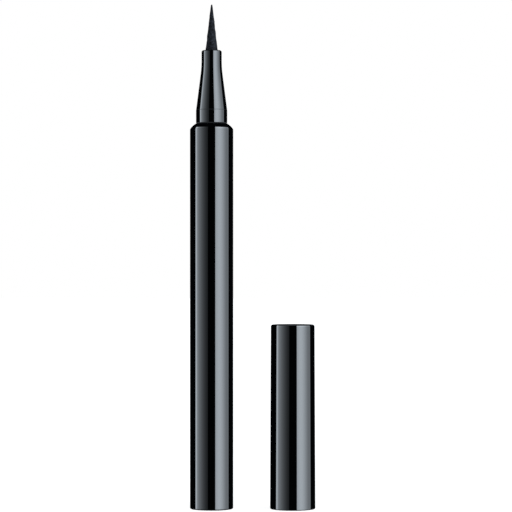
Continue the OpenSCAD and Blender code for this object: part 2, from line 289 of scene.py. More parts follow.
def rounded(corners, closed=True):
    """Points and outward normals of an outline whose corners are rounded.

    Each corner is (radius, height, rounding), and the material lies left of the way. A corner
    that says no rounding has the fine one, and one with a rounding of 0 stays a point. A corner's
    arc starts rounding * tan(turn / 2) before it, and the way turns evenly along it. The normal
    is the way turned a quarter to the right.
    """
    corners = np.array([(*corner, FINE_ROUND)[:3] for corner in corners])
    points, radii = corners[:, :2], corners[:, 2:]
    steps = np.roll(points, -1, axis=0) - points
    after = steps / np.linalg.norm(steps, axis=1, keepdims=True)
    before = np.roll(after, 1, axis=0)
    if not closed:
        before[0] = after[0]
        after[-1] = before[-1]
    cross = before[:, :1] * after[:, 1:] - before[:, 1:] * after[:, :1]
    turn = np.arctan2(cross, (before * after).sum(axis=1, keepdims=True))
    swing = turn * np.linspace(0, 1, ARC_STEPS + 1)
    cos, sin = np.cos(swing)[..., None], np.sin(swing)[..., None]
    left = before @ np.array([[0, 1], [-1, 0]])
    start = points - before * radii * np.tan(np.abs(turn) / 2)
    arm = left * radii * np.sign(turn)
    way = before[:, None] * cos + left[:, None] * sin
    arm_left = arm @ np.array([[0, 1], [-1, 0]])
    arc = (start + arm)[:, None] - arm[:, None] * cos - arm_left[:, None] * sin
    kept = (radii > 0) | (np.arange(ARC_STEPS + 1) == ARC_STEPS // 2)
    normals = way @ np.array([[0, -1], [1, 0]])
    return arc[kept], normals[kept]


def divided(points, normals, longest, closed):
    """The outline with points added, so that no step is longer than the given length.

    Points and normals are interpolated by the distance along the outline.
    """
    if closed:
        points = np.vstack([points, points[:1]])
        normals = np.vstack([normals, normals[:1]])
    steps = np.linalg.norm(np.diff(points, axis=0), axis=1)
    counts = np.maximum(1, np.ceil(steps / longest)).astype(int)
    first = np.repeat(np.arange(len(steps)), counts)
    share = (np.arange(counts.sum()) - np.repeat(np.cumsum(counts) - counts, counts))
    share = (share / np.repeat(counts, counts))[:, None]
    made = [points[first] * (1 - share) + points[first + 1] * share,
            normals[first] * (1 - share) + normals[first + 1] * share]
    if not closed:
        made = [np.vstack([a, b[-1:]]) for a, b in zip(made, (points, normals))]
    return made


def mesh_object(name, points, faces, normals=None):
    """A smooth mesh object, with the given normals or with sharp edges by angle."""
    mesh = bpy.data.meshes.new(name)
    mesh.from_pydata(points.tolist(), [], faces)
    mesh.shade_smooth()
    if normals is None:
        mesh.set_sharp_from_angle(angle=SHARP_ANGLE)
    else:
        mesh.normals_split_custom_set_from_vertices(normals.tolist())
    made = bpy.data.objects.new(name, mesh)
    bpy.context.scene.collection.objects.link(made)
    return made


def grid_faces(rows, columns, wrap_rows):
    """Faces of a grid whose columns go round, as rows of four vertex numbers."""
    row = np.arange(rows if wrap_rows else rows - 1)[:, None] * columns
    column = np.arange(columns)[None, :]
    over = (row + columns) % (rows * columns)
    across = (column + 1) % columns
    return np.stack([row + column, row + across, over + across, over + column], axis=-1)


def ended_faces(rows, columns):
    """Faces of such a grid, with a fan at each end on the two vertices that come after it."""
    ring = np.arange(columns)
    after = (ring + 1) % columns
    first_end, last_row = rows * columns, (rows - 1) * columns
    return [*grid_faces(rows, columns, False).reshape(-1, 4).tolist(),
            *np.stack([0 * ring + first_end, after, ring], axis=1).tolist(),
            *np.stack([last_row + ring, last_row + after, 0 * ring + first_end + 1],
                      axis=1).tolist()]


def turned(name, corners, closed=True, axis_x=0.0, longest=4 * MM, sides=SIDES, relief=None,
           columns=None):
    """A piece turned about an upright axis: the point at radius r, angle a and height z lies at
    (axis + r cos a, r sin a, z).

    An outline that isn't closed starts and ends on the axis, where each end is one vertex.
    relief(angle, height, radius) gives what is added to the radius. columns(radius, height) gives
    the radii and the angles of the grid, for a piece with ribs or grooves along it.
    """
    points, normals = divided(*rounded(corners, closed), longest, closed)
    radius, height = points[:, :1], points[:, 1:]
    if columns:
        radii, angles = columns(radius, height)
    else:
        angles = np.linspace(0, math.tau, sides, endpoint=False) + 0 * radius
        radii = radius + 0 * angles
    if relief:
        radii = radii + relief(angles, height + 0 * angles, radii)
    cos, sin = np.cos(angles), np.sin(angles)
    grid = np.stack([axis_x + radii * cos, radii * sin, height + 0 * angles], axis=-1)
    out = np.stack([normals[:, :1] * cos, normals[:, :1] * sin, normals[:, 1:] + 0 * cos], axis=-1)
    rows, count = angles.shape
    if closed:
        flat, flat_out = grid.reshape(-1, 3), out.reshape(-1, 3)
        faces = grid_faces(rows, count, True).reshape(-1, 4).tolist()
    else:
        flat = np.vstack([grid[1:-1].reshape(-1, 3),
                          [[axis_x, 0, height[0, 0]], [axis_x, 0, height[-1, 0]]]])
        flat_out = np.vstack([out[1:-1].reshape(-1, 3),
                              [[0, 0, normals[0, 1]], [0, 0, normals[-1, 1]]]])
        faces = ended_faces(rows - 2, count)
    plain = relief is None and columns is None
    return mesh_object(name, flat, faces, flat_out if plain else None)


def banded(count, edges, between, inside):
    """Columns for a detail that a turned piece carries count times round.

    Each detail has four edges, given as angles from its middle, and from one detail to the next
    there are even steps. The two inner edges take the radius that inside(radius, height) gives.
    """
    pitch = math.tau / count
    gaps = np.linspace(edges[-1], edges[0] + pitch, between + 2)[1:-1]
    angles = (pitch * np.arange(count)[:, None] + np.concatenate([edges, gaps])).ravel()
    inner = np.isin(np.arange(len(angles)) % (between + 4), (1, 2))

    def columns(radius, height):
        return np.where(inner, inside(radius, height), radius), angles + 0 * radius
    return columns


# What the wall of a groove leans by, as an angle about the axis
DRAFT = 0.004
# How far out a groove's floor moves with the radius over it, so no face is flat to nothing
FLOOR_RISE = 0.01


def grooved(count, half_width, outside, floor, between, foot=-1.0):
    """Columns with straight grooves along a turned piece, whose floors are flat.

    Where the outline lies outside the floor and above the foot, a groove goes down to the floor,
    at floor / cos(angle from the groove's middle).
    """
    edge = math.asin(half_width / outside)
    limit = floor / math.cos(edge - DRAFT)

    def inside(radius, height):
        cut = (radius > limit) & (height > foot)
        return np.where(cut, limit + FLOOR_RISE * (radius - limit), radius)
    return banded(count, [-edge, DRAFT - edge, edge - DRAFT, edge], between, inside)


def smooth_noise(across, along, cells_across, cells_along, seed):
    """Random heights from -1 to 1 on a grid that goes round in across, blended smoothly.

    across and along are shares from 0 to 1. Between four random heights the weight is the
    smooth step 3 t^2 - 2 t^3 of the share of the way t.
    """
    heights = np.random.default_rng(seed).uniform(-1, 1, (cells_across, cells_along + 2))
    x = across * cells_across
    y = np.clip(along, 0, 1) * cells_along
    x0, y0 = np.floor(x).astype(int), np.floor(y).astype(int)
    tx, ty = x - x0, y - y0
    tx, ty = tx * tx * (3 - 2 * tx), ty * ty * (3 - 2 * ty)
    x0, x1 = x0 % cells_across, (x0 + 1) % cells_across
    lower = heights[x0, y0] * (1 - tx) + heights[x1, y0] * tx
    upper = heights[x0, y0 + 1] * (1 - tx) + heights[x1, y0 + 1] * tx
    return lower * (1 - ty) + upper * ty


def arc(centre_r, centre_z, radius, start, end, count):
    """Corners along an arc, from one angle to another, that stay points."""
    angle = np.linspace(start, end, count)
    return np.stack([centre_r + radius * np.cos(angle), centre_z + radius * np.sin(angle),
                     0 * angle], axis=1).tolist()


def dress(piece, node, material):
    """Lets a piece stand for its CAD node, on the node's body, in a material.

    The pieces don't mirror each other, only the studio's panels, as in the photo.
    """
    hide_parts(node)
    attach(piece, frame["nodes"][node]["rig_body"])
    piece.data.materials.append(material)
    piece.visible_glossy = False
    return piece


# Materials


def add(tree, kind, inputs, output=0, **settings):
    """Adds a shader node with its settings, gives each input its value or its link, and returns
    one output."""
    made = tree.nodes.new(f"ShaderNode{kind}")
    for key, value in settings.items():
        setattr(made, key, value)
    for key, value in inputs.items():
        if isinstance(value, bpy.types.NodeSocket):
            tree.links.new(value, made.inputs[key])
        else:
            made.inputs[key].default_value = value
    return made.outputs[output] if made.outputs else None


# Inputs of a Map Range node, in the order in which a range is written here
RANGE = "Value", "From Min", "From Max", "To Min", "To Max"


def blank(name):
    """A new material and its empty tree."""
    made = bpy.data.materials.new(name)
    made.use_nodes = True
    made.node_tree.nodes.clear()
    return made, made.node_tree


def opaque(colour, share=1.0):
    """The colour with alpha, made darker or lighter by a share."""
    return (*(c * share for c in colour), 1.0)


def patterned(name, *rows, uv=None):
    """A new material, its tree and what its patterns give.

    Each row is a texture, its size in millimetres, its other inputs and its settings. The size
    is one number, or three for a pattern that is drawn out. The patterns lie on Object
    coordinates, or on the UV map that is named.
    """
    made, tree = blank(name)
    place = add(tree, "UVMap", {}, uv_map=uv) if uv else add(tree, "TexCoord", {}, "Object")
    patterns = []
    for kind, size, inputs, settings in rows:
        laid = add(tree, "Mapping", {"Vector": place, "Scale": 1 / (MM * np.broadcast_to(size, 3))})
        patterns.append(add(tree, kind, {"Vector": laid, "Scale": 1.0, **inputs}, **settings))
    return made, tree, *patterns


def finished(made, tree, colour, shade, rough, bump, inputs):
    """Ends a material in one Principled shader.

    shade is a pattern and the shares of the colour that its 0 and its 1 give. rough is a range
    from a pattern to the roughness. bump is a pattern, its strength and its depth in millimetres.
    """
    pattern, dark, light = shade
    inputs["Base Color"] = add(tree, "Mix", {
        0: pattern, 6: opaque(colour, dark), 7: opaque(colour, light)}, 2, data_type="RGBA")
    if rough:
        inputs["Roughness"] = add(tree, "MapRange", dict(zip(RANGE, rough)))
    if bump:
        pattern, strength, depth = bump
        inputs["Normal"] = add(tree, "Bump", {
            "Height": pattern, "Strength": strength, "Distance": depth * MM})
    add(tree, "OutputMaterial", {"Surface": add(tree, "BsdfPrincipled", inputs)})
    return made


def moulded_gloss_abs(colour):
    """ABS, moulded against a mirror-polished steel mould.

    Carbon black takes nearly all the light, so what the eye sees is the clean reflection of the
    studio. The mould's slow waves, about 2.5 mm long, bend it a little, and handling leaves a
    faint haze in patches of about 1 mm. The gloss falls off towards grazing views, as through a
    polarising filter, so that flat faces seen from the side don't burn out.
    """
    made, tree, waves, haze, flow = patterned(
        "moulded_gloss_abs", ("TexNoise", 2.5, {"Detail": 1.0}, {}),
        ("TexNoise", 1.0, {"Detail": 4.0}, {}), ("TexNoise", 8.0, {"Detail": 2.0}, {}))
    facing = add(tree, "LayerWeight", {"Blend": 0.5}, "Facing")
    gloss = add(tree, "MapRange", dict(zip(RANGE, (facing, 0.4, 0.76, 0.5, 0.0))),
                interpolation_type="SMOOTHSTEP")
    return finished(made, tree, colour, (flow, 0.6, 1.4), (haze, 0.35, 0.7, 0.035, 0.05),
                    (waves, 0.6, 0.002), {"IOR": 1.5, "Specular IOR Level": gloss})


def moulded_satin_pp(colour):
    """Polypropylene, moulded against a spark-eroded mould.

    The fine crystals that the spark leaves, drawn 0.12 mm across so that they show, break up the
    highlight into a soft satin.
    """
    made, tree, grain, cloud = patterned(
        "moulded_satin_pp", ("TexVoronoi", 0.12, {"Smoothness": 0.6}, {"feature": "SMOOTH_F1"}),
        ("TexNoise", 1.5, {"Detail": 3.0}, {}))
    return finished(made, tree, colour, (cloud, 0.7, 1.3), (cloud, 0.3, 0.7, 0.34, 0.48),
                    (grain, 0.5, 0.01), {"IOR": 1.49})


def ground_polyester_felt(colour):
    """Polyester felt, bonded, ground to a point and soaked with black ink.

    The fibres run along the nib, about 0.05 mm wide, and the ink fills some of the pores between
    them. The eye sees a matt blue-black with small lighter flecks of about 0.4 mm.
    """
    made, tree, fibres, flecks, pores = patterned(
        "ground_polyester_felt", ("TexNoise", (0.05, 0.05, 0.05 / 0.12), {"Detail": 3.0}, {}),
        ("TexNoise", 0.45, {"Detail": 4.0, "Roughness": 0.65}, {}), ("TexVoronoi", 0.16, {}, {}))
    lit = add(tree, "MapRange", dict(zip(RANGE, (flecks, 0.4, 0.68))),
              interpolation_type="SMOOTHSTEP")
    height = add(tree, "Math", {0: fibres, 1: 0.7, 2: pores}, operation="MULTIPLY_ADD")
    return finished(made, tree, colour, (lit, 0.35, 3.4), (lit, 0.0, 1.0, 0.74, 0.52),
                    (height, 0.9, 0.03), {"IOR": 1.14})


def moulded_natural_plastic(name, colour, rough_low, rough_high, depth):
    """ABS or polyethylene moulded with no pigment.

    Light goes a millimetre or so into it and comes out again, so edges glow softly. The flow into
    the mould leaves faint clouds of about 2 mm.
    """
    made, tree, cloud, skin = patterned(
        name, ("TexNoise", 2.0, {"Detail": 3.0, "Distortion": 0.6}, {}),
        ("TexNoise", 0.2, {"Detail": 2.0}, {}))
    return finished(made, tree, colour, (cloud, 0.93, 1.0), (cloud, 0.3, 0.7, rough_low, rough_high),
                    (skin, 0.3, 0.004), {
                        "IOR": 1.51, "Subsurface Weight": 0.5, "Subsurface Scale": depth,
                        "Subsurface Radius": (1.0, 0.9, 0.8)})


def bonded_fibre(colour):
    """Polyester fibres, bonded into a rod and cut to length.

    The fibres run along it, about 0.04 mm wide, so it looks like a pale, dull thread.
    """
    made, tree, fibres = patterned(
        "bonded_fibre", ("TexNoise", (0.04, 0.04, 0.04 / 0.03), {"Detail": 4.0}, {}))
    return finished(made, tree, colour, (fibres, 0.7, 1.0), None, (fibres, 0.8, 0.02),
                    {"Roughness": 0.8, "IOR": 1.45})


def moulded_nitrile(colour):
    """Nitrile rubber, moulded.

    A dull black skin with a bloom that comes out in soft patches of about 0.8 mm.
    """
    made, tree, bloom = patterned("moulded_nitrile", ("TexNoise", 0.8, {"Detail": 5.0}, {}))
    return finished(made, tree, colour, (bloom, 0.7, 1.5), (bloom, 0.0, 1.0, 0.5, 0.75),
                    (bloom, 0.4, 0.01), {"IOR": 1.52})


def polished_stainless(colour):
    """Stainless steel, ground and tumbled to a mirror.

    Fine tumbling marks, about 0.1 mm across, haze the mirror in places.
    """
    made, tree, marks = patterned(
        "polished_stainless", ("TexNoise", 0.1, {"Detail": 6.0, "Roughness": 0.7}, {}))
    return finished(made, tree, colour, (marks, 0.9, 1.0), (marks, 0.35, 0.75, 0.05, 0.16),
                    None, {"Metallic": 1.0})


def drawn_spring_wire(colour):
    """Stainless spring wire, drawn through a die.

    The die leaves fine lines along the wire, about 0.02 mm apart, which stretch the highlight
    across it. The UV map holds real lengths: along the wire first, then round it.
    """
    made, tree, drawn = patterned(
        "drawn_spring_wire", ("TexNoise", (1.0, 0.02, 0.02), {"Detail": 3.0}, {}), uv="wire")
    return finished(made, tree, colour, (drawn, 0.75, 1.0), (drawn, 0.3, 0.7, 0.16, 0.3),
                    (drawn, 0.3, 0.002), {"Metallic": 1.0})


# Pieces


def shoulder(shape):
    """The shoulder's corners: a slope from the barrel's edge to the lip, bulged by half a wave.

    At share t of its height the radius has gone in by t - bulge * sin(pi t) of the whole.
    """
    bulge, steps = 0.1, 24
    t = np.linspace(0, 1, steps + 1)[1:-1]
    inward = (shape.radius - shape.lip_radius) * (t - bulge * np.sin(math.pi * t))
    rise = (MOUTH_Z - shape.straight_top) * t
    return np.stack([shape.radius - inward, shape.straight_top + rise, 0 * t], axis=1).tolist()


def snap_ring(radius, foot, width, rise, upwards):
    """Corners of the ring or groove with sloping flanks that snaps the section into the barrel."""
    corners = [[radius, foot], [radius + rise, foot + rise],
               [radius + rise, foot + width - rise], [radius, foot + width]]
    return corners if upwards else corners[::-1]


SNAP_WIDTH, SNAP_RISE = 0.9 * MM, 0.12 * MM
# The plug's head, the beads on its body and the gap round the body
PLUG_HEAD, PLUG_BEAD, PLUG_BODY_GAP = 1.0 * MM, 0.8 * MM, 0.15 * MM


def barrel_corners(s):
    """The barrel's closed outline: up the outside, down the front bore, the chamber, the hole
    for the seal and the tank, and out past the plug's seat."""
    seat = high("tail_plug").x + SLIP
    snap_foot = (s.front_bore_foot + MOUTH_Z) / 2 - SNAP_WIDTH / 2 - SLIP
    return [
        [seat, 0],
        [s.radius, 0, s.base_round],
        [s.radius, s.straight_top, s.shoulder_round],
        *shoulder(s),
        [s.lip_radius, MOUTH_Z],
        [s.front_bore, MOUTH_Z],
        *snap_ring(s.front_bore, snap_foot, SNAP_WIDTH + 2 * SLIP, SNAP_RISE, False),
        [s.front_bore, s.front_bore_foot],
        [s.chamber_radius, s.front_bore_foot],
        [s.chamber_radius, s.wall_high],
        [s.seal_hole, s.wall_high],
        [s.seal_hole, s.wall_low],
        [s.tank_radius, s.wall_low],
        [s.tank_radius, PLUG_HEAD],
        [seat, PLUG_HEAD]]


def plug_corners(s):
    """The tail plug's outline, from the middle of its face to the middle of its hollow."""
    head_r, top = high("tail_plug").x, high("tail_plug").z
    body = s.tank_radius - PLUG_BODY_GAP
    bead = s.tank_radius - SLIP
    beads = [[r, PLUG_HEAD + (top - PLUG_HEAD) * share + from_middle * PLUG_BEAD]
             for share in (1 / 3, 2 / 3)
             for r, from_middle in ((body, -1 / 2), (bead, -1 / 4), (bead, 1 / 4), (body, 1 / 2))]
    return [
        [0, 0, 0],
        [head_r - EDGE_CUT, 0],
        [head_r, EDGE_CUT],
        [head_r, PLUG_HEAD],
        [body, PLUG_HEAD],
        *beads,
        [body, top - EDGE_CUT],
        [body - EDGE_CUT, top],
        [s.plug_hollow, top],
        [s.plug_hollow, top - s.plug_hollow_depth],
        [0, top - s.plug_hollow_depth, 0]]


# Depth and height of the groove at the collar's foot, which shows as a dark line
FOOT_GROOVE = 0.165 * MM, 0.24 * MM
# The moulding line where the collar meets the flare: how far it lies under the collar's end, its
# depth, the heights of its two flanks, and how much less the flare's radius is than the collar's
LINE_DROP, LINE_DEPTH, LINE_FLANKS = 0.16 * MM, 0.06 * MM, (0.03 * MM, 0.055 * MM)
FLARE_STEP = 0.03 * MM
LINE_ROUND = 0.01 * MM
# What the cut round the nozzle's end takes off its height, as a share of its width, and the
# roundings at its outer and inner edge
NOSE_CUT_SLOPE, NOSE_ROUNDS = 0.85, (0.2 * MM, 0.1 * MM)
# Rounding where the nib's shank turns into its cone
NIB_ROUND = 0.3 * MM


def section_corners(s, b):
    """The section's closed outline: up the skirt, the collar, the flare and the nozzle, then
    back down through the nib's opening, the holder's bore and the collector's room.

    The flare is straight at its angle, then an arc that touches it and the nozzle.
    """
    foot = low("section").z
    flare_r = s.collar_radius - FLARE_STEP
    tan = math.tan(s.flare_angle)
    cross_z = s.collar_top + (flare_r - s.nozzle_radius) / tan
    blend_z = cross_z + s.flare_blend * math.tan(s.flare_angle / 2)
    blend = arc(s.nozzle_radius + s.flare_blend, blend_z, s.flare_blend,
                math.pi + s.flare_angle, math.pi, count=25)
    snap_foot = (b.front_bore_foot + MOUTH_Z) / 2 - SNAP_WIDTH / 2
    line_z = mount_ends("section_collar")[1] - LINE_DROP
    return [
        [b.chamber_radius, foot],
        [s.skirt_radius - EDGE_CUT, foot],
        [s.skirt_radius, foot + EDGE_CUT],
        *snap_ring(s.skirt_radius, snap_foot, SNAP_WIDTH, SNAP_RISE, True),
        [s.skirt_radius, MOUTH_Z],
        [s.collar_radius - FOOT_GROOVE[0], MOUTH_Z],
        [s.collar_radius, MOUTH_Z + FOOT_GROOVE[1], 0.5 * FINE_ROUND],
        [s.collar_radius, line_z, LINE_ROUND],
        [flare_r - LINE_DEPTH, line_z + LINE_FLANKS[0], LINE_ROUND],
        [flare_r, line_z + sum(LINE_FLANKS), LINE_ROUND],
        *blend,
        [s.nozzle_radius, NOSE_Z - NOSE_CUT_SLOPE * s.nose_cut, NOSE_ROUNDS[0]],
        [s.nozzle_radius - s.nose_cut, NOSE_Z, NOSE_ROUNDS[1]],
        [s.nib_radius + SLIP, NOSE_Z],
        [s.nib_radius + SLIP, NOSE_Z - s.front_lip],
        [s.nozzle_bore, NOSE_Z - s.front_lip],
        [s.nozzle_bore, s.collar_top],
        [b.chamber_radius, s.collar_top]]


# Depth of the nib's socket for the fibre rod
NIB_SOCKET = 2.0 * MM


def nib_corners(s):
    """The nib's outline: the socket for the fibre rod, the shank, the cone and the point.

    The cone touches the point's ball where its radius makes the same angle to the axis as the
    cone does to the level.
    """
    rear, tip = span("nib")
    rod = high("feed_core").x + SLIP
    socket = rear + NIB_SOCKET
    centre = tip - s.nib_point
    slant = math.hypot(s.nib_radius, centre - NOSE_Z)
    tilt = math.atan2(s.nib_radius, centre - NOSE_Z) - math.asin(s.nib_point / slant)
    return [
        [0, socket, 0],
        [rod, socket],
        [rod, rear],
        [s.nib_radius - EDGE_CUT, rear],
        [s.nib_radius, rear + EDGE_CUT],
        [s.nib_radius, NOSE_Z, NIB_ROUND],
        *arc(0, centre, s.nib_point, tilt, math.pi / 2, count=9)]


# Layers of the felt's relief: cells round the nib, cells along its cone, seed and weight
FELT_LAYERS = (7, 13, 11, 0.55), (23, 40, 12, 0.3), (90, 16, 13, 0.25)
# Share of the cone over which the relief fades in, the radius below which it fades out, and what
# the relief sinks by so that the cone keeps its width
FELT_FADE, FELT_FADE_RADIUS, FELT_SINK = 0.05, 0.6 * MM, 0.1


def felt_relief(s):
    """What the felt's lumps and fibres add to the cone's radius.

    Three layers of smooth noise, over the angle and the height above the nozzle: lumps about
    0.9 mm long, short tufts, and long thin fibres. They fade in above the nozzle and fade out
    with the radius towards the point.
    """
    def relief(angle, height, radius):
        across = angle / math.tau
        along = (height - NOSE_Z) / (high("nib").z - NOSE_Z)
        lumps = sum(weight * smooth_noise(across, along, *cells) for *cells, weight in FELT_LAYERS)
        fade = np.clip(along / FELT_FADE, 0, 1) * np.clip(radius / FELT_FADE_RADIUS, 0, 1)
        return s.felt_relief * fade * (lumps - FELT_SINK)
    return relief


# Length of the post under the cap's closed end, and thickness of the liner's flange
CAP_POST, LINER_FLANGE = 2.5 * MM, 1.1 * MM
# The liner's ledge lies this far above its foot, and its cone rises this far above the grip
LINER_LEDGE, LINER_CONE = 6.1 * MM, 6.91 * MM
# The liner's ribs start this far above its ledge, end this far below its top and taper over this
RIB_FOOT, RIB_END, RIB_LEAD = 0.1 * MM, 1.0 * MM, 0.3 * MM


def cap_corners(s):
    """The cap shell's outline, from the foot of its post to the middle of its closed end."""
    top = high("cap_shell").z
    roof = top - s.roof
    post = roof - CAP_POST
    seat = low("cap_liner").z + LINER_FLANGE
    return [
        [0, post, 0],
        [s.post_radius, post],
        [s.post_radius, roof],
        [s.bore, roof],
        [s.bore, seat],
        [s.seat_radius, seat],
        [s.seat_radius, 0],
        [s.mouth_radius, 0, s.mouth_round],
        [s.top_radius, top, s.top_round],
        [0, top, 0]]


def liner_corners(s):
    """The liner's closed outline: its flange, its ledge, the ribbed tube, and back down the bore
    that guides the inner cap, the cone and the grip."""
    foot, top = span("cap_liner")
    flange = high("cap_liner").x - CAP_X
    body = s.bore - SLIP
    ledge = foot + LINER_LEDGE
    grip_low, grip_high = mount_ends("cap_mouth")
    return [
        [s.grip_radius + (grip_low - foot), foot],
        [flange, foot],
        [flange, foot + LINER_FLANGE],
        [body, foot + LINER_FLANGE],
        [body, ledge],
        [s.tube_radius, ledge],
        [s.tube_radius, ledge + RIB_FOOT, 0],
        [s.tube_radius, top - RIB_END - RIB_LEAD, 0],
        [s.tube_radius, top - RIB_END, 0],
        [s.tube_radius, top],
        [s.guide_radius, top],
        [s.guide_radius, grip_high + LINER_CONE],
        [s.grip_radius, grip_high],
        [s.grip_radius, grip_low]]


def liner_ribs(s):
    """Columns with ribs along the liner's tube, between its ledge and its top.

    At radius r a rib's side lies at the arc sine of half its width over r from its middle.
    """
    rib = s.bore - 2 * SLIP
    root, tip = (math.asin(s.rib_width / 2 / r) for r in (s.tube_radius, rib))
    foot = low("cap_liner").z + LINER_LEDGE + RIB_FOOT / 2
    end = high("cap_liner").z - RIB_END - RIB_LEAD / 2

    def inside(radius, height):
        ribbed = (radius > s.tube_radius - SLIP) & (height > foot) & (height < end)
        return np.where(ribbed, rib, radius)
    return banded(s.ribs, [-root, -tip, tip, root], between=24, inside=inside)


# Thickness of the inner cap's flange
INNER_FLANGE = 1.0 * MM


def inner_cap_corners(s):
    """The inner cap's outline: the bore that seals on the nozzle, the lip, the flange that
    stops on the liner, and the post in the spring."""
    lip, top = span("inner_cap")
    bore_low, bore_high = mount_ends("inner_cap_seal")
    outside = s.guide_radius - 2 * SLIP
    flange = high("inner_cap").x - CAP_X
    return [
        [0, bore_high, 0],
        [s.seal_radius, bore_high],
        [s.seal_radius, bore_low],
        [s.seal_radius + (bore_low - lip), lip],
        [outside - EDGE_CUT, lip],
        [outside, lip + EDGE_CUT],
        [outside, bore_high],
        [flange, bore_high],
        [flange, bore_high + INNER_FLANGE],
        [s.post_radius, bore_high + INNER_FLANGE],
        [s.post_radius, top - EDGE_CUT],
        [s.post_radius - EDGE_CUT, top],
        [0, top, 0]]


# Gap between the wires of the closed turn at each end of the spring
CLOSED_GAP = 0.07 * MM


def coil_spring(s):
    """The spring's wire, with a UV map in real lengths.

    At turn t the wire's middle lies at (axis + R cos a, R sin a, h), where a is 2 pi t and h
    rises slowly in the closed turn at each end and evenly between them. The ring round it is
    square to the way the wire runs: middle + wire / 2 * (cos b * outwards + sin b * upwards).
    """
    rings_per_turn, sides = 48, 14
    foot, top = span("cap_spring")
    rise = top - foot - s.wire
    closed_turn = s.wire + CLOSED_GAP
    turn = np.linspace(0, s.coils, s.coils * rings_per_turn + 1)
    climb = np.interp(turn, [0, 1, s.coils - 1, s.coils], [0, closed_turn, rise - closed_turn, rise])
    angle = math.tau * turn
    cos, sin, none = np.cos(angle), np.sin(angle), 0 * angle
    middle = np.stack([CAP_X + s.coil_radius * cos, s.coil_radius * sin,
                       foot + s.wire / 2 + climb], axis=1)
    out = np.stack([cos, sin, none], axis=1)
    way = np.stack([-s.coil_radius * sin, s.coil_radius * cos, np.gradient(climb, angle)], axis=1)
    way /= np.linalg.norm(way, axis=1, keepdims=True)
    up = np.cross(out, way)
    round_angle = np.linspace(0, math.tau, sides, endpoint=False)[None, :, None]
    ring = out[:, None] * np.cos(round_angle) + up[:, None] * np.sin(round_angle)
    points = np.vstack([(middle[:, None] + s.wire / 2 * ring).reshape(-1, 3), middle[[0, -1]]])

    rings = len(turn)
    faces = [face[::-1] for face in ended_faces(rings, sides)]
    spring = mesh_object("cap_coil_spring", points, faces)

    run = np.linspace(0, np.linalg.norm(np.diff(middle, axis=0), axis=1).sum(), rings)
    step = math.pi * s.wire / sides
    start = np.stack(np.broadcast_arrays(run[:-1, None], np.arange(sides) * step), axis=-1)
    size = np.array([run[1], step])
    corners = start[:, :, None] + size * np.array([[1, 0], [1, 1], [0, 1], [0, 0]])
    # Two fans of triangles with three corners each, and two values to a corner
    ends = np.zeros(2 * sides * 3 * 2)
    uv = spring.data.uv_layers.new(name="wire")
    uv.data.foreach_set("uv", np.concatenate([corners.ravel(), ends]))
    return spring


def ball_corners(s, node):
    """Half a circle about the ball's middle, from its lowest to its highest point."""
    return arc(0, sum(span(node)) / 2, s.ball_radius, -math.pi / 2, math.pi / 2, count=49)


def holder_corners(s):
    """The closed outline of the sleeve that holds the nib and lets air past it."""
    foot, top = span("nib_holder")
    return [
        [s.passage, foot, 0],
        [s.holder_radius - EDGE_CUT, foot, 0],
        [s.holder_radius, foot + EDGE_CUT, 0],
        [s.holder_radius, top, 0],
        [s.holder_seat, top, 0],
        [s.holder_seat, s.holder_seat_foot],
        [s.passage, s.holder_seat_foot]]


def rod_corners(s):
    """The fibre rod's outline, from the middle of its foot to the middle of its top."""
    foot, top = span("feed_core")
    return [
        [0, foot, 0],
        [s.rod_radius, foot, 2 * FINE_ROUND],
        [s.rod_radius, top, 2 * FINE_ROUND],
        [0, top, 0]]


# Furrows of the rod: cells round it, cells along it and seed, and half of their greatest depth
ROD_FURROWS, ROD_RELIEF = (60, 24, 14), 0.006 * MM


def rod_fibres(s):
    """What the fibres take off the rod's radius: long thin furrows of smooth noise, 0.012 mm deep
    at most."""
    def relief(angle, height, radius):
        foot, top = span("feed_core")
        furrows = smooth_noise(angle / math.tau, (height - foot) / (top - foot), *ROD_FURROWS)
        return ROD_RELIEF * (furrows - 1) * radius / s.rod_radius
    return relief


def seal_corners(s):
    """The closed outline of the seal: a flange under the tank's wall and a sleeve through it."""
    foot, top = span("tank_seal")
    return [
        [s.seal_bore, foot, 2 * FINE_ROUND],
        [s.flange_radius, foot, 4 * FINE_ROUND],
        [s.flange_radius, foot + s.seal_flange],
        [s.sleeve_radius, foot + s.seal_flange],
        [s.sleeve_radius, top, 2 * FINE_ROUND],
        [s.seal_bore, top, 2 * FINE_ROUND]]


# Thickness of the collector's foot and of its front disc
COLLECTOR_DISC = 1.0 * MM


def collector_corners(s, b):
    """The collector's closed outline: the tail in the seal, the foot, the fins one by one, and
    the front disc."""
    tail, top = span("collector")
    fins = [[r, z, rounding]
            for z0 in (s.first_fin + s.fin_pitch * np.arange(s.fins)).tolist()
            for r, z, rounding in ((s.tube_radius, z0, 0), (s.fin_radius, z0, FINE_ROUND),
                                   (s.fin_radius, z0 + s.fin_thickness, FINE_ROUND),
                                   (s.tube_radius, z0 + s.fin_thickness, 0))]
    return [
        [s.passage, tail, 0],
        [s.tail_radius - EDGE_CUT, tail, 0],
        [s.tail_radius, tail + EDGE_CUT, 0],
        [s.tail_radius, b.wall_high, 0],
        [s.fin_radius, b.wall_high, 0],
        [s.fin_radius, b.wall_high + COLLECTOR_DISC, 0],
        [s.tube_radius, b.wall_high + COLLECTOR_DISC, 0],
        *fins,
        [s.tube_radius, top - COLLECTOR_DISC, 0],
        [s.fin_radius, top - COLLECTOR_DISC, 0],
        [s.fin_radius, top, 0],
        [s.passage, top, 0]]


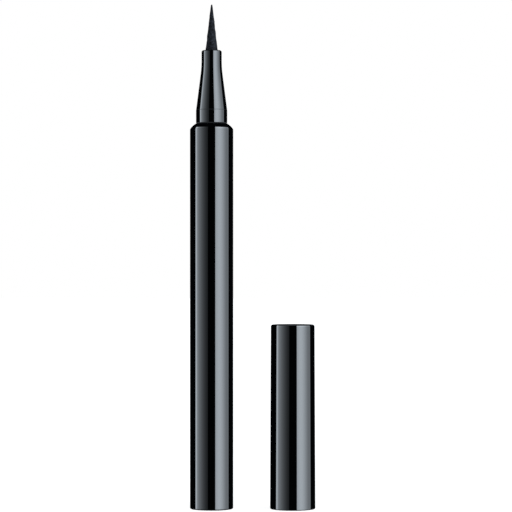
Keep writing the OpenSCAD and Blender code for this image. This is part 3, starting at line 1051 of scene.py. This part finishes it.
def collector_cuts(s, b):
    """Columns with the capillary slit on the cap's side and the air notch opposite.

    Each is cut as grooved() says, and the two share one row of angles.
    """
    foot = b.wall_high + COLLECTOR_DISC + SLIP
    slit = grooved(1, s.slit_width / 2, s.fin_radius, s.slit_floor, between=60, foot=foot)
    notch_edge = math.asin(s.notch_width / 2 / s.fin_radius)

    def columns(radius, height):
        radii, angles = slit(radius, height)
        from_notch = np.abs(angles - math.pi)
        floor = s.notch_floor / np.cos(from_notch)
        cut = (from_notch < notch_edge) & (radius > floor)
        return np.where(cut, floor + FLOOR_RISE * (radius - floor), radii), angles
    return columns


class EYELINER_OT_barrel(bpy.types.Operator):
    """Makes the barrel and the plug in its tail"""

    bl_idname = "eyeliner.barrel"
    bl_label = "Barrel and Tail Plug"

    def execute(self, context):
        shape, finish = context.scene.eyeliner_barrel, context.scene.eyeliner_finish
        tube = turned("barrel_tube", barrel_corners(shape))
        dress(tube, "barrel", gloss_material(finish))
        plug = turned("end_plug", plug_corners(shape), closed=False)
        dress(plug, "tail_plug", satin_material(finish))
        return {"FINISHED"}


def gloss_material(finish):
    """The gloss black that the barrel, the section and the cap share."""
    return bpy.data.materials.get("moulded_gloss_abs") or moulded_gloss_abs(finish.gloss)


def satin_material(finish):
    """The satin black that the tail plug and the cap's liner share."""
    return bpy.data.materials.get("moulded_satin_pp") or moulded_satin_pp(finish.satin)


class EYELINER_OT_section(bpy.types.Operator):
    """Makes the front section with its collar, flare and nozzle"""

    bl_idname = "eyeliner.section"
    bl_label = "Section"

    def execute(self, context):
        scene = context.scene
        corners = section_corners(scene.eyeliner_section, scene.eyeliner_barrel)
        front = turned("front_section", corners, longest=1.0 * MM)
        dress(front, "section", gloss_material(scene.eyeliner_finish))
        return {"FINISHED"}


class EYELINER_OT_nib(bpy.types.Operator):
    """Makes the felt nib, with the felt's relief in its mesh"""

    bl_idname = "eyeliner.nib"
    bl_label = "Nib"

    def execute(self, context):
        shape, finish = context.scene.eyeliner_section, context.scene.eyeliner_finish
        nib = turned("felt_nib", nib_corners(shape), closed=False, longest=0.07 * MM,
                     relief=felt_relief(shape))
        dress(nib, "nib", ground_polyester_felt(finish.ink))
        return {"FINISHED"}


class EYELINER_OT_cap(bpy.types.Operator):
    """Makes the cap's shell and the ribbed liner that grips the collar"""

    bl_idname = "eyeliner.cap"
    bl_label = "Cap Shell and Liner"

    def execute(self, context):
        shape, finish = context.scene.eyeliner_cap, context.scene.eyeliner_finish
        shell = turned("cap_body", cap_corners(shape), closed=False, axis_x=CAP_X)
        dress(shell, "cap_shell", gloss_material(finish))
        liner = turned("grip_liner", liner_corners(shape), axis_x=CAP_X,
                       columns=liner_ribs(shape))
        dress(liner, "cap_liner", satin_material(finish))
        return {"FINISHED"}


class EYELINER_OT_inner_cap(bpy.types.Operator):
    """Makes the inner cap that seals the nozzle, and the spring that presses it there"""

    bl_idname = "eyeliner.inner_cap"
    bl_label = "Inner Cap and Spring"

    def execute(self, context):
        shape, finish = context.scene.eyeliner_cap, context.scene.eyeliner_finish
        inner = turned("sealing_cap", inner_cap_corners(shape), closed=False, axis_x=CAP_X)
        polythene = moulded_natural_plastic("moulded_natural_polythene", finish.natural,
                                            rough_low=0.38, rough_high=0.5, depth=1.6 * MM)
        dress(inner, "inner_cap", polythene)

        spring = coil_spring(shape)
        dress(spring, "cap_spring", drawn_spring_wire(finish.steel))
        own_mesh(spring)
        return {"FINISHED"}


class EYELINER_OT_feed(bpy.types.Operator):
    """Makes what carries the ink to the nib: the seal, the collector, the rod and the holder"""

    bl_idname = "eyeliner.feed"
    bl_label = "Ink Feed"

    def execute(self, context):
        scene = context.scene
        shape, barrel, finish = scene.eyeliner_feed, scene.eyeliner_barrel, scene.eyeliner_finish
        milky = moulded_natural_plastic("moulded_natural_abs", finish.milky,
                                        rough_low=0.22, rough_high=0.34, depth=1.0 * MM)
        holder = turned("nib_sleeve", holder_corners(shape), columns=grooved(
            3, shape.groove_width / 2, shape.holder_radius,
            shape.holder_radius - shape.groove_depth, between=36))
        dress(holder, "nib_holder", milky)
        fins = turned("finned_collector", collector_corners(shape, barrel), longest=12 * MM,
                      columns=collector_cuts(shape, barrel))
        dress(fins, "collector", milky)
        rod = turned("fibre_rod", rod_corners(shape), closed=False, longest=1.0 * MM,
                     relief=rod_fibres(shape))
        dress(rod, "feed_core", bonded_fibre(finish.fibre))
        seal = turned("rubber_seal", seal_corners(shape))
        dress(seal, "tank_seal", moulded_nitrile(finish.rubber))
        return {"FINISHED"}


class EYELINER_OT_balls(bpy.types.Operator):
    """Makes the two balls that stir the ink"""

    bl_idname = "eyeliner.balls"
    bl_label = "Mixing Balls"

    def execute(self, context):
        shape, finish = context.scene.eyeliner_feed, context.scene.eyeliner_finish
        steel = polished_stainless(finish.steel)
        for number in (1, 2):
            node = f"mixing_ball_{number}"
            middle = (low(node).x + high(node).x) / 2
            ball = turned(f"steel_ball_{number}", ball_corners(shape, node), closed=False,
                          axis_x=middle, sides=96)
            dress(ball, node, steel)
        return {"FINISHED"}


# Studio


# Directions in the world are told by two angles in degrees: the azimuth says how far right of the
# camera, as the object sees it, and the height how far above the horizon.
EDGE_BLUR = 2.5
LEFT_NEAR, LEFT_FAR, STRIP_NEAR = -19.0, -94.5, -84.0
RIGHT_NEAR, RIGHT_FAR = 20.7, 102.8
# The left panel's light grows from this far inside its near edge to the strip, by this power of
# the way, on top of the least share that it has at the start
LEFT_INSET, LEFT_POWER, LEFT_LEAST = 3.0, 1.8, 0.06


def panel_edges(near, far):
    """The blurred near and far edges of a panel, each as a change of its light."""
    half = math.copysign(EDGE_BLUR / 2, far - near)
    return [("azimuth", near - half, near + half, 0.0, 1.0),
            ("azimuth", far + half, far - half, 0.0, 1.0)]


# Changes of a panel's light: what each goes by, where it starts and ends, and the shares of the
# light there. The panels that stand round the pen share their ends, and are dimmer below.
TALL = [("height", 83.0, 77.0, 0.0, 1.0), ("height", -64.0, -60.0, 0.0, 1.0),
        ("height", -9.0, -22.0, 1.0, 0.35)]
LEFT = [*panel_edges(LEFT_NEAR, LEFT_FAR), *TALL, ("height", 22.0, 40.0, 1.0, 1.1)]
STRIP = [*panel_edges(STRIP_NEAR, LEFT_FAR), *TALL]
RIGHT = [*panel_edges(RIGHT_NEAR, RIGHT_FAR), *TALL, ("height", 22.0, 40.0, 1.0, 1.35),
         ("azimuth", RIGHT_NEAR, RIGHT_NEAR + 20, 0.84, 1.0), ("azimuth", 95.0, 39.5, 0.28, 1.0)]
# The rear panel is a spot straight behind the pen in a dimmer zone that reaches above it
REAR_SPOT = [("y", 0.87, 0.91, 0.0, 1.0)]
REAR_ZONE = [("height", 121.0, 127.0, 0.0, 0.4)]
FLOOR_GLOW = [("height", -44.0, -60.0, 0.0, 0.4)]


def panel_light(tree, studio):
    """Radiance of the soft panels as a function of the direction's azimuth and height.

    The azimuth is twice the arc tangent of x / (1 - y), and the height twice the arc sine of
    z / sqrt(2 - 2 y). Straight ahead these are the true angles. Further round, the panels curve
    so that their reflections run straight up a rounded edge and end at one height on it.
    Each panel's light is multiplied by its changes, which are smooth steps. The left panel also
    falls off towards the camera, and has a bright strip at its far edge. Of the rear panel's two
    parts the brighter counts, and everything else adds up.
    """
    way = add(tree, "TexCoord", {}, "Generated")
    known = dict(zip("xyz", add(tree, "SeparateXYZ", {"Vector": way}).node.outputs))
    for name, operation, *terms in (
            ("front", "SUBTRACT", 1.0, "y"), ("side angle", "ARCTAN2", "x", "front"),
            ("side degrees", "DEGREES", "side angle"), ("azimuth", "MULTIPLY", "side degrees", 2.0),
            ("reach squared", "MULTIPLY", "front", 2.0), ("reach", "SQRT", "reach squared"),
            ("rise", "DIVIDE", "z", "reach"), ("rise angle", "ARCSINE", "rise"),
            ("rise degrees", "DEGREES", "rise angle"), ("height", "MULTIPLY", "rise degrees", 2.0)):
        inputs = {place: known.get(term, term) for place, term in enumerate(terms)}
        known[name] = add(tree, "Math", inputs, operation=operation)
    inwards = add(tree, "MapRange", dict(zip(
        RANGE, (known["azimuth"], LEFT_NEAR + LEFT_INSET, STRIP_NEAR))))
    grown = add(tree, "Math", {0: inwards, 1: LEFT_POWER}, operation="POWER")
    left = add(tree, "Math", {0: grown, 1: studio.left_light * (1 - LEFT_LEAST),
                              2: studio.left_light * LEFT_LEAST}, operation="MULTIPLY_ADD")

    total = 0.0
    for join, light, changes in (
            ("ADD", studio.rear_light, REAR_SPOT), ("MAXIMUM", studio.rear_light, REAR_ZONE),
            ("ADD", left, LEFT), ("ADD", studio.strip_light, STRIP),
            ("ADD", studio.right_light, RIGHT), ("ADD", 1.0, FLOOR_GLOW)):
        for goes_by, *change in changes:
            share = add(tree, "MapRange", dict(zip(RANGE, (known[goes_by], *change))),
                        interpolation_type="SMOOTHSTEP")
            light = add(tree, "Math", {0: light, 1: share}, operation="MULTIPLY")
        total = add(tree, "Math", {0: total, 1: light}, operation=join)
    return total


class EYELINER_OT_stage(bpy.types.Operator):
    """Makes the floor, the soft panels of light and the camera"""

    bl_idname = "eyeliner.stage"
    bl_label = "Studio"

    def execute(self, context):
        studio = context.scene.eyeliner_studio
        world = bpy.data.worlds.new("soft_panels")
        world.use_nodes = True
        tree = world.node_tree
        tree.nodes.clear()
        lit = add(tree, "Background", {
            "Color": opaque(studio.panel_tint), "Strength": panel_light(tree, studio)})
        room = add(tree, "Background", {
            "Color": opaque(studio.room_tint), "Strength": studio.room_light})
        panels = add(tree, "AddShader", {0: lit, 1: room})
        paper = add(tree, "Background", {"Color": (1, 1, 1, 1), "Strength": 1.0})
        seen = add(tree, "LightPath", {}, "Is Camera Ray")
        add(tree, "OutputWorld", {
            "Surface": add(tree, "MixShader", {0: seen, 1: panels, 2: paper})})
        context.scene.world = world

        half = 3.0
        floor = mesh_object("floor", np.array([[-half, -half, 0], [half, -half, 0],
                                               [half, half, 0], [-half, half, 0]]), [[0, 1, 2, 3]])
        floor.data.materials.append(lit_floor())
        floor.visible_glossy = False

        eye = bpy.data.cameras.new("camera")
        eye.lens = studio.lens
        eye.sensor_width = 36
        eye.clip_start = 0.01
        eye.clip_end = 20
        camera = bpy.data.objects.new("camera", eye)
        camera.location = (studio.camera_x, -studio.camera_distance, studio.camera_z)
        camera.rotation_euler = (math.pi / 2, 0, 0)
        context.scene.collection.objects.link(camera)
        context.scene.camera = camera
        context.scene.view_settings.view_transform = "Standard"
        return {"FINISHED"}


def lit_floor():
    """White acrylic on a light table: pale and even, with only a trace of a shadow."""
    made, tree = blank("light_table")
    base = add(tree, "BsdfDiffuse", {"Color": (0.1, 0.1, 0.1, 1)})
    glow = add(tree, "Emission", {"Color": (1, 1, 1, 1), "Strength": 0.94})
    add(tree, "OutputMaterial", {"Surface": add(tree, "AddShader", {0: base, 1: glow})})
    return made


class EYELINER_PT_panel(bpy.types.Panel):
    """Lists the pieces that can be made"""

    bl_idname = "EYELINER_PT_panel"
    bl_label = "Felt-Tip Eyeliner Pen"
    bl_space_type = "VIEW_3D"
    bl_region_type = "UI"
    bl_category = "Eyeliner"

    def draw(self, context):
        column = self.layout.column(align=True)
        for maker in MAKERS:
            column.operator(maker.bl_idname)
        for group in GROUPS:
            box = self.layout.box()
            settings = getattr(context.scene, group)
            for key in type(settings).__annotations__:
                box.prop(settings, key)


MAKERS = (EYELINER_OT_barrel, EYELINER_OT_section, EYELINER_OT_nib, EYELINER_OT_cap,
          EYELINER_OT_inner_cap, EYELINER_OT_feed, EYELINER_OT_balls, EYELINER_OT_stage)
GROUPS = {"eyeliner_barrel": BarrelShape, "eyeliner_section": SectionShape,
          "eyeliner_cap": CapShape, "eyeliner_feed": FeedShape, "eyeliner_finish": Finish,
          "eyeliner_studio": Studio}
CLASSES = (*GROUPS.values(), *MAKERS, EYELINER_PT_panel)


def register():
    for made in CLASSES:
        bpy.utils.register_class(made)
    for name, group in GROUPS.items():
        setattr(bpy.types.Scene, name, bpy.props.PointerProperty(type=group))


def unregister():
    for name in GROUPS:
        delattr(bpy.types.Scene, name)
    for made in reversed(CLASSES):
        bpy.utils.unregister_class(made)


def main():
    register()
    bpy.ops.eyeliner.barrel()
    bpy.ops.eyeliner.section()
    bpy.ops.eyeliner.nib()
    bpy.ops.eyeliner.cap()
    bpy.ops.eyeliner.inner_cap()
    bpy.ops.eyeliner.feed()
    bpy.ops.eyeliner.balls()
    bpy.ops.eyeliner.stage()


if __name__ == "__main__":
    main()
